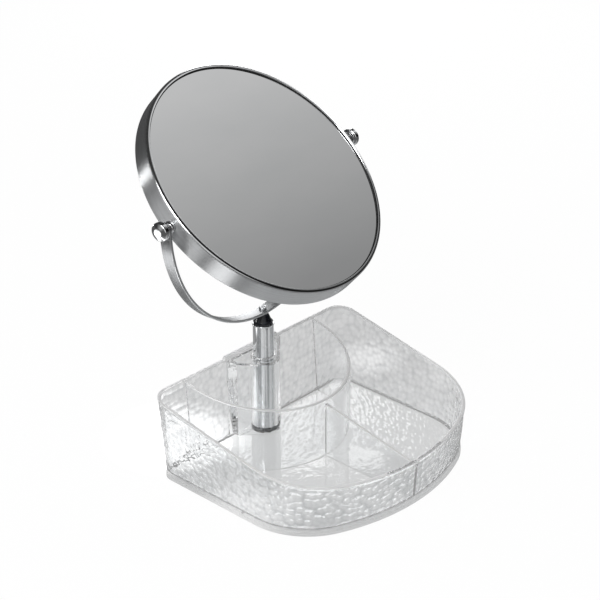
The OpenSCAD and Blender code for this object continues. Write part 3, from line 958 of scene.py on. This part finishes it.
def polished(piece, where):
    """Chrome on the faces where the mask is true."""
    piece.data.materials.append(chrome.material)
    piece.data.polygons.foreach_set("material_index", where.astype("i"))
    piece.data.update()
    return piece


def make_yoke():
    """The path is (R cos a, -R sin a) with a from 0 to pi, and the section is thick along its
    outward direction and wide across it."""
    half, thin, middle = YOKE_W / 2, YOKE_T / 2, YOKE_R + YOKE_T / 2
    past = half * np.sin(np.linspace(math.pi / 2, 0, END_STEPS, endpoint=False))
    a = np.linspace(0, math.pi, ARC_STEPS)
    arc_out = np.stack([np.cos(a), -np.sin(a)], axis=-1)
    right = np.stack([np.full(END_STEPS, middle), past], axis=-1)
    path = np.concatenate([right, middle * arc_out, right[::-1] * [-1, 1]])
    end_out = np.repeat([[1.0, 0]], END_STEPS, 0)
    out = np.concatenate([end_out, arc_out, -end_out])
    narrow = np.sqrt(half ** 2 - past ** 2)
    width = np.concatenate([narrow, np.full(ARC_STEPS, half), narrow[::-1]])
    corners = rounded([[thin, half], [-thin, half], [-thin, -half], [thin, -half]], (0.4,) * 4, 4)
    corners = np.vstack([corners, corners[:1]])
    thick = corners[:, 0][:, None]
    inset = (half - np.abs(corners[:, 1]))[:, None]
    wide = np.sign(corners[:, 1])[:, None] * np.maximum(width[None] - inset, 0)
    flat = path[None] + thick[..., None] * out[None]
    grid = np.stack([flat[..., 0], wide, flat[..., 1]], axis=-1)
    uv = surface_uv(way_along(path), way_along(corners))
    return piece_from_grid("brushed_yoke", on_yoke(grid), uv=uv)


# %% Yoke screw and polished edges
def make_yoke_screw():
    """A pan head with a cross recess; the shank goes down into the cone."""
    seat, head_r, shank_r = -YOKE_R + 0.12, 2.7, 1.9
    end, top = seat - 15, seat + 1.5
    corners = [[0, end], [shank_r, end], [shank_r, seat], [head_r, seat], [head_r, top], [0, top]]
    screw = turned("yoke_screw_head", rounded(corners, (0, 0.3, 0, 0.1, 0.7, 0)), on_yoke, 48)
    recess = np.array([[1.4, 0.3], [-1.4, 0.3], [-1.4, -0.3], [1.4, -0.3]])
    for turn in np.radians((20, 110)):
        sine, cosine = math.sin(turn), math.cos(turn)
        plan = recess @ [[cosine, sine], [-sine, cosine]]
        bar = np.stack([np.column_stack([plan, np.full(4, z)])
                        for z in (seat + 0.6, seat + 4)], axis=1)
        joined(screw, capped("recess", on_yoke(bar)), "DIFFERENCE")
    return screw


def polish_edges(yoke):
    """The faces on the softened edges, away from both faces of the strip, get the polish."""
    x, y, z = face_centres(yoke, PIVOT_AXIS, YOKE_BACK, ABOVE)
    off_middle = np.hypot(x, z) - YOKE_R - YOKE_T / 2
    reach = 0.35  # how far in from an edge the polish goes
    edge = (np.abs(off_middle) > YOKE_T / 2 - reach) & (np.abs(y) > YOKE_W / 2 - reach)
    return polished(yoke, edge)


yoke = polish_edges(wear(make_yoke(), brushed_grey, "yoke"))
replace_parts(yoke, "yoke")
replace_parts(wear(make_yoke_screw(), zinc, "yoke"), "yoke_screw")

# %% [markdown]
# ## The mirror
# A brushed band whose edges roll over into polished lips. A black gasket shows as a thin line
# between lip and glass.

# %% Ring
MIRROR_R, HALF_DEPTH, SHEET = 89.3, 8.55, 1.2
LIP_IN = MIRROR_R - 2.7
RING_IN = MIRROR_R - SHEET
GLASS_R = RING_IN - 0.2
GLASS_FACE = HALF_DEPTH - SHEET - 0.3


def make_ring():
    """The lips fall a little towards the band, so their outer edge is lower than HALF_DEPTH."""
    roll, outer, under = 2.0, HALF_DEPTH - 0.4, HALF_DEPTH - SHEET
    band = HALF_DEPTH - roll - 0.6
    corners = [[MIRROR_R, -outer], [MIRROR_R, -band], [MIRROR_R, band], [MIRROR_R, outer],
               [LIP_IN, HALF_DEPTH], [LIP_IN, under], [RING_IN, under],
               [RING_IN, -under], [LIP_IN, -under], [LIP_IN, -HALF_DEPTH]]
    shape = rounded(corners, (roll, 0, 0, roll, 0.4, 0.2, 0, 0, 0.2, 0.4), 11)
    return turned("brushed_ring", shape, on_mirror, 240, closed=True)


def polish_lips(ring):
    """The faces nearer the middle than the band, or on its rolled edges, get the polish."""
    x, y, z = face_centres(ring, PIVOT_AXIS, MIRROR_UP, MIRROR_OUT)
    inner, rolled = MIRROR_R - 0.25, HALF_DEPTH - 1.1
    return polished(ring, (np.hypot(x, y) < inner) | (np.abs(z) > rolled))


ring = polish_lips(wear(make_ring(), brushed, "mirror"))
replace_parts(ring, "mirror_ring")


# %% Glasses and gaskets
def make_glass():
    """A disc with a fine bevel."""
    back, flat = GLASS_FACE - 3, GLASS_R - 0.8
    corners = [[0, back], [flat, back], [GLASS_R, back], [GLASS_R, GLASS_FACE],
               [flat, GLASS_FACE], [0, GLASS_FACE]]
    return turned("mirror_plain", rounded(corners, (0, 0, 0.3, 0.3, 0, 0), 3), on_mirror, 180)


def make_dished_glass():
    """The magnifying glass on the other side: its face is a spherical hollow, whose height at
    the distance x from the middle is -GLASS_FACE + sag - R + root(R^2 - x^2)."""
    sag, thick = 3.6, 2.4
    dish_r = (GLASS_R ** 2 + sag ** 2) / (2 * sag)
    x = np.linspace(0, GLASS_R, 41)
    hollow = sag - GLASS_FACE - dish_r + np.sqrt(dish_r ** 2 - x ** 2)
    face = np.column_stack([x, hollow])
    back = np.column_stack([x, hollow + thick])[::-1]
    return turned("mirror_magnifying", np.concatenate([face, back]), on_mirror, 180)


def make_gasket(side):
    """Held under the lip, with a low bead that shows inside it."""
    inner, outer = LIP_IN - 0.5, LIP_IN - 0.05
    low, high, bead = GLASS_FACE + 0.02, GLASS_FACE + 0.28, GLASS_FACE + 0.6
    corners = [[inner, low], [GLASS_R, low], [GLASS_R, high], [outer, high], [outer, bead],
               [inner, bead]]
    shape = rounded(corners, (0, 0, 0, 0, 0.15, 0.2), 4) * [1, side]
    name = "gasket_front" if side > 0 else "gasket_back"
    return turned(name, shape, on_mirror, 240, closed=True)


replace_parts(wear(make_glass(), silvered, "mirror"), "glass_plain")
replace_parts(wear(make_dished_glass(), silvered, "mirror"), "glass_magnifying")
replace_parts(wear(make_gasket(1), rubber, "mirror"), "gasket_plain")
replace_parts(wear(make_gasket(-1), rubber, "mirror"), "gasket_magnifying")

# %% [markdown]
# ## Pivots
# Each side has a chrome knob outside the yoke and a rounded spacer between yoke and ring.

# %% Knobs and spacers
KNOB_R, KNOB_NECK, KNOB_TIP = 6.3, 4.5, 3.2
KNOB_SEAT, KNOB_END = 96.55, 102.55  # distances from the mirror's centre
SPACER_LOW, SPACER_HIGH, SPACER_BORE = 89.4, 93.4, 2.05


def make_knob(side):
    """A neck against the yoke, a short cylinder and a rounded end."""
    corners = [[0, KNOB_SEAT], [KNOB_NECK, KNOB_SEAT], [KNOB_NECK + 0.3, KNOB_SEAT + 0.9],
               [KNOB_R, KNOB_SEAT + 1.6], [KNOB_R, KNOB_END - 1.2], [KNOB_TIP, KNOB_END],
               [0, KNOB_END]]
    shape = rounded(corners, (0, 0.3, 0.5, 0.8, 1.2, 2.2, 0), 9)
    return turned("knob_left" if side < 0 else "knob_right", shape, on_pivot(side), 72)


def make_spacer(side):
    """A ring whose outside bulges: its radius is 2.5 + 1.6 cos a and its height half sin a."""
    middle, half = (SPACER_LOW + SPACER_HIGH) / 2, (SPACER_HIGH - SPACER_LOW) / 2
    a = np.linspace(-math.pi / 2, math.pi / 2, 13)
    bulge = np.stack([2.5 + 1.6 * np.cos(a), middle + half * np.sin(a)], axis=-1)
    shape = np.concatenate([[[SPACER_BORE, SPACER_LOW]], bulge, [[SPACER_BORE, SPACER_HIGH]]])
    return turned("spacer_left" if side < 0 else "spacer_right", shape, on_pivot(side), 64,
                  closed=True)


for side, word in ((-1, "left"), (1, "right")):
    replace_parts(wear(make_knob(side), chrome, "mirror"), f"pivot_knob_{word}")
    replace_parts(wear(make_spacer(side), chrome, "mirror"), f"pivot_spacer_{word}")

# %% [markdown]
# ## The pieces that stay as they are
# Screws, washers, bush, inserts and hoop have the right shape already, so they only get a finish.

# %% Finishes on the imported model's own pieces
SLOT_FINISH = {"chrome": chrome, "brushed_steel": brushed, "mirror": silvered,
               "black_plastic": black_plastic, "black_rubber": rubber, "brass": brass,
               "white_plastic": white_plastic, "zinc_steel": zinc, "clear_plastic": clear}
slot_of = {part["node"]: part["material_slot"] for part in frame["record"]["subparts"]}
for node, piece in frame["nodes"].items():
    wear(piece, SLOT_FINISH[slot_of[node]])
print("finished", len(frame["nodes"]), "nodes")

# %% [markdown]
# ## Floor
# The photograph has a plain white ground. The floor is a white sheet with a share of plain glow
# for the camera, which keeps the ground white and the shadow faint. The tray's floor and walls
# show the sheet more as it is lit, which is what makes clear plastic look pale grey on white.
# Metal sees a sheet of painted light: a glow that is bright near the object and dark away from it,
# with five painted pools of light that draw the white lines on tube, yoke and ring. The clear
# plastic sees one painted brighter place behind the left bay, and three small painted ones that
# put the sparks into its right side.

# %% Floor
FLOOR_HALF = 4.0
GLOW = 1.03
CAMERA_SHARE, CLEAR_SHARE, BAY_SHARE = 0.93, 0.36, 0.8
# Painted light for metal: the glow is full out to the first distance and fades by the second.
PAINTED_LIGHT_NEAR, PAINTED_LIGHT_FAR = 0.24, 0.42  # metres from the middle, where the lit part fades
PAINTED_NEAR_GREY, PAINTED_FAR_GREY = 0.33, 0.1
# Each painted pool of light on the sheet: its middle, where it starts to fade and has faded, and how bright it is.
PAINTED_POOLS = (((-0.215, 0.2, 0), 0.04, 0.07, 2.4), ((-0.18, 0.04, 0), 0.03, 0.055, 3.0),
         ((-0.27, 0.11, 0), 0.02, 0.045, 2.2), ((-0.4, 0.3, 0), 0.03, 0.06, 3.0),
         ((0.22, 0.28, 0), 0.08, 0.16, 0.9))
# The painted brighter spot behind the left bay, and below it three painted sparks, each with its middle, where it
# starts to fade and has faded, and how bright it is.
PAINTED_BAY_SPOT, BAY_REACH, BAY_GLOW = (-0.05, 0.103, 0), (0.028, 0.052), 1.6
PAINTED_SPARKS = (((0.13, 0.08, 0), 0.01, 0.03, 0.36), ((0.145, 0.02, 0), 0.008, 0.025, 0.12),
          ((-0.085, 0, 0), 0.01, 0.04, 0.4))


def make_floor():
    """A square sheet with painted light. A spot of glow is bright up to one distance from its middle
    and fades out at the next, and what metal sees is the sum of the spots."""
    mesh = bpy.data.meshes.new("floor")
    corners = [(x * FLOOR_HALF, y * FLOOR_HALF, 0) for x, y in ((-1, -1), (1, -1), (1, 1), (-1, 1))]
    mesh.from_pydata(corners, [], [(0, 1, 2, 3)])
    f = Finish("floor_sheet", Base_Color=(0.5, 0.5, 0.5, 1), Roughness=0.9)
    path, mirrored = f.mirrored_ray()
    place = f.add("ShaderNodeTexCoord").outputs["Object"]

    def spot(middle, full, end, bright, dim=0):
        return f.between(f.against("DISTANCE", place, middle), bright, dim, full, end)

    # Painted light that metal sees: glow near the middle plus the painted pools.
    painted_light = spot((0, 0, 0), PAINTED_LIGHT_NEAR, PAINTED_LIGHT_FAR, PAINTED_NEAR_GREY, PAINTED_FAR_GREY)
    for pool in PAINTED_POOLS:
        painted_light = f.sum(painted_light, spot(*pool))
    # Painted light: the brighter spot behind the left bay raises the glow's strength there.
    plain = spot(PAINTED_BAY_SPOT, *BAY_REACH, BAY_GLOW, GLOW)
    strength = f.between(mirrored, plain, painted_light, 0, 1)
    glow = f.add("ShaderNodeEmission", Color=(1, 1, 1, 1), Strength=strength)
    # Painted light for rays through the clear plastic: the brighter spot and the sparks.
    through = spot(PAINTED_BAY_SPOT, *BAY_REACH, BAY_SHARE, CLEAR_SHARE)
    for spark in PAINTED_SPARKS:
        through = f.sum(through, spot(*spark))
    share = mirrored
    for ray, part in (("Is Camera Ray", CAMERA_SHARE), ("Is Transmission Ray", through)):
        share = f.between(path.outputs[ray], share, f.sum(share, part), 0, 1)
    f.mixed(share, f.shader, glow, f.output)
    mesh.materials.append(f.material)
    return in_scene("floor", mesh)


make_floor()

# %% [markdown]
# ## Room
# Metal shows what is around it, so the studio is made for its reflections. The plain mirror looks
# at a grey screen, paler at the back, which gives its slow fade. Past the screen metal sees a
# dark studio, which draws the black lines on the polished lips, knobs and spacers, and two pale
# walls on the left and front left. The clear plastic sees a pale room. The camera itself sees
# only white.

# %% Room
ROOM_SLOPE = (0.0, 0.902, 0.431)  # the direction in which the room gets brighter
# Each place along that direction, from -1 to 1, and the grey there.
ROOM_GREYS = ((-1.0, 0.1), (-0.25, 0.14), (-0.07, 0.19), (0.0, 0.28), (0.125, 0.57), (0.3, 0.78),
              (1.0, 0.95))
SCREEN = (0.74, -0.24, 0.628)  # towards the middle of the grey screen
SCREEN_EDGE, SCREEN_FULL = math.cos(math.radians(24)), math.cos(math.radians(13))
DARK = 0.05  # the studio past the screen, as a part of the screen
# The pale walls: direction, where they start and are full, brightness.
WALLS = (((-0.85, -0.5, 0.1), 0.3, 0.9, 0.6), ((-0.6, -0.79, 0.15), 0.72, 0.95, 4.5))
HORIZON = 0.55  # the pale room's brightness near the horizon, as a part of 1
PALE_ABOVE = (0.1, 0.4)  # heights between which it gets to 1


def make_room():
    """A direction's brightness along an axis is a smooth step of their product. Metal sees the
    slope's grey times the sum of screen and walls."""
    world = bpy.data.worlds.new("studio")
    bpy.context.scene.world = world
    world.use_nodes = True
    t = Tree(world.node_tree)
    t.nodes.clear()
    direction = t.add("ShaderNodeTexCoord").outputs["Generated"]

    def towards(axis, start, stop, low=0.0, high=1.0, kind="SMOOTHSTEP"):
        along = t.against("DOT_PRODUCT", direction, axis)
        return t.between(along, low, high, start, stop, kind)

    ramp = t.add("ShaderNodeValToRGB", Fac=towards(ROOM_SLOPE, -1.0, 1.0, kind="LINEAR"))
    stops = ramp.color_ramp.elements
    for place, grey in ROOM_GREYS:
        stop = stops[0] if place == -1 else stops[-1] if place == 1 else stops.new(place / 2 + 0.5)
        stop.color = (grey, grey, grey, 1)
    for_metal = towards(SCREEN, SCREEN_EDGE, SCREEN_FULL, DARK)
    for axis, start, full, bright in WALLS:
        for_metal = t.sum(for_metal, towards(axis, start, full, high=bright))
    pale = towards((0, 0, 1), *PALE_ABOVE, HORIZON)
    path, mirrored = t.mirrored_ray()
    room = t.add("ShaderNodeBackground", Color=ramp.outputs[0],
                 Strength=t.between(mirrored, pale, for_metal, 0, 1))
    white = t.add("ShaderNodeBackground", Color=(1, 1, 1, 1))
    t.mixed(path.outputs["Is Camera Ray"], room, white, t.add("ShaderNodeOutputWorld"))


make_room()
print("room:", len(ROOM_GREYS), "greys,", len(WALLS), "pale walls")

# %% [markdown]
# ## Lamps
# A large soft box stands high on the left. The weak boxes light nothing much: the two at the back
# are picked up by the dimples of the clear walls and by brushed metal as bright patches, and the
# two on the right give the polished lip its white line.

# %% Soft boxes
def soft_box(name, place, size, power, target):
    """An area lamp at place that faces target: its z axis points from the target to the lamp."""
    data = bpy.data.lights.new(name, "AREA")
    data.shape, data.size, data.size_y, data.energy = "RECTANGLE", size[0], size[1], power
    back = np.array(place, float) - target
    back /= np.linalg.norm(back)
    side = np.cross([0, 0, 1], back)
    side /= np.linalg.norm(side)
    turn_to(in_scene(name, data), np.column_stack([side, np.cross(back, side), back]), place)


LAMPS = (  # name, place, size, power in watts, and what it faces
    ("key", (-1.1, -0.2, 1.05), (0.9, 0.7), 13, (0, 0, 0.1)),
    ("screen_back_right", (0.83, 0.867, 0.4), (0.32, 0.72), 2.6, (0, 0, 0.4)),
    ("strip_back_left", (-0.62, 1.35, 0.12), (0.09, 0.2), 1.4, (0, 0, 0.1)),
    ("lip_light", (1.05, 0.35, 0.42), (0.55, 0.5), 0.8, (0, 0.06, 0.25)),
    ("lip_light_high", (1.09, 0.155, 0.576), (0.35, 0.31), 0.34, (0.06, 0.1, 0.2)),
)
for lamp in LAMPS:
    soft_box(*lamp)

# Light is bent and thrown back many times inside a clear wall's edge before it gets out.
cycles = bpy.context.scene.cycles
cycles.max_bounces = 64
cycles.glossy_bounces = cycles.transmission_bounces = 60

# %% View settings
bpy.context.scene.view_settings.view_transform = "Standard"
